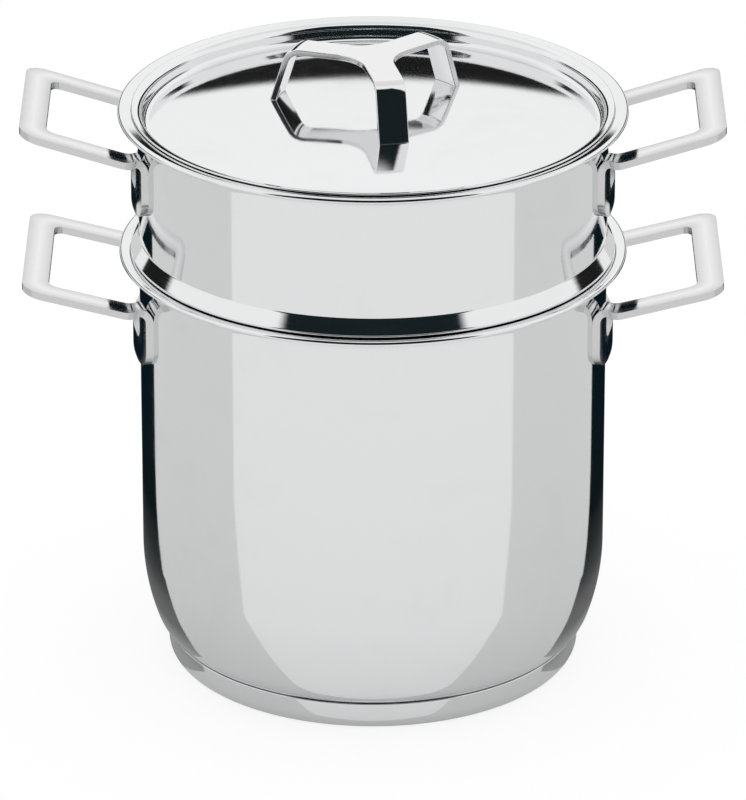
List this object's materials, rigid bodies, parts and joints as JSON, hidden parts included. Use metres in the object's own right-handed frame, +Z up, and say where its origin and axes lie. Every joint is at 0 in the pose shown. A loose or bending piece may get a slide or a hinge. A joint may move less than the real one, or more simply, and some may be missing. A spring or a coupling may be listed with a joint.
{
  "type": "pasta pot with strainer insert",
  "caption": "Tall stainless steel stockpot with a lift-out perforated strainer insert on its rim, a sunk lid with a bent tripod handle and angular window handles.",
  "frame": {"origin": "centre of the base's underside, on the surface that the pot stands on", "axes": "+Z up along the pot's axis, handles along +X and -X, the pictured side faces -Y"},
  "size_m": [0.3, 0.219, 0.2779],
  "materials": {
    "polished_steel": "mirror polished stainless steel",
    "handle_steel": "polished stainless steel strap",
    "aluminium_disc": "matt, hidden inside the base"
  },
  "bodies": {
    "pot": {"pot_body": "polished_steel", "base_disc": "aluminium_disc", "base_cap": "polished_steel", "pot_handle_left": "handle_steel", "pot_handle_right": "handle_steel"},
    "strainer_insert": {"insert_body": "polished_steel", "insert_handle_left": "handle_steel", "insert_handle_right": "handle_steel"},
    "lid": {"lid_shell": "polished_steel", "lid_handle": "handle_steel"}
  },
  "joints": [
    {"name": "insert_lift", "type": "slide", "parent": "pot", "child": "strainer_insert", "axis": [0, 0, 1], "range_m": [0, 0.2]},
    {"name": "lid_lift", "type": "slide", "parent": "strainer_insert", "child": "lid", "axis": [0, 0, 1], "range_m": [0, 0.12]}
  ]
}
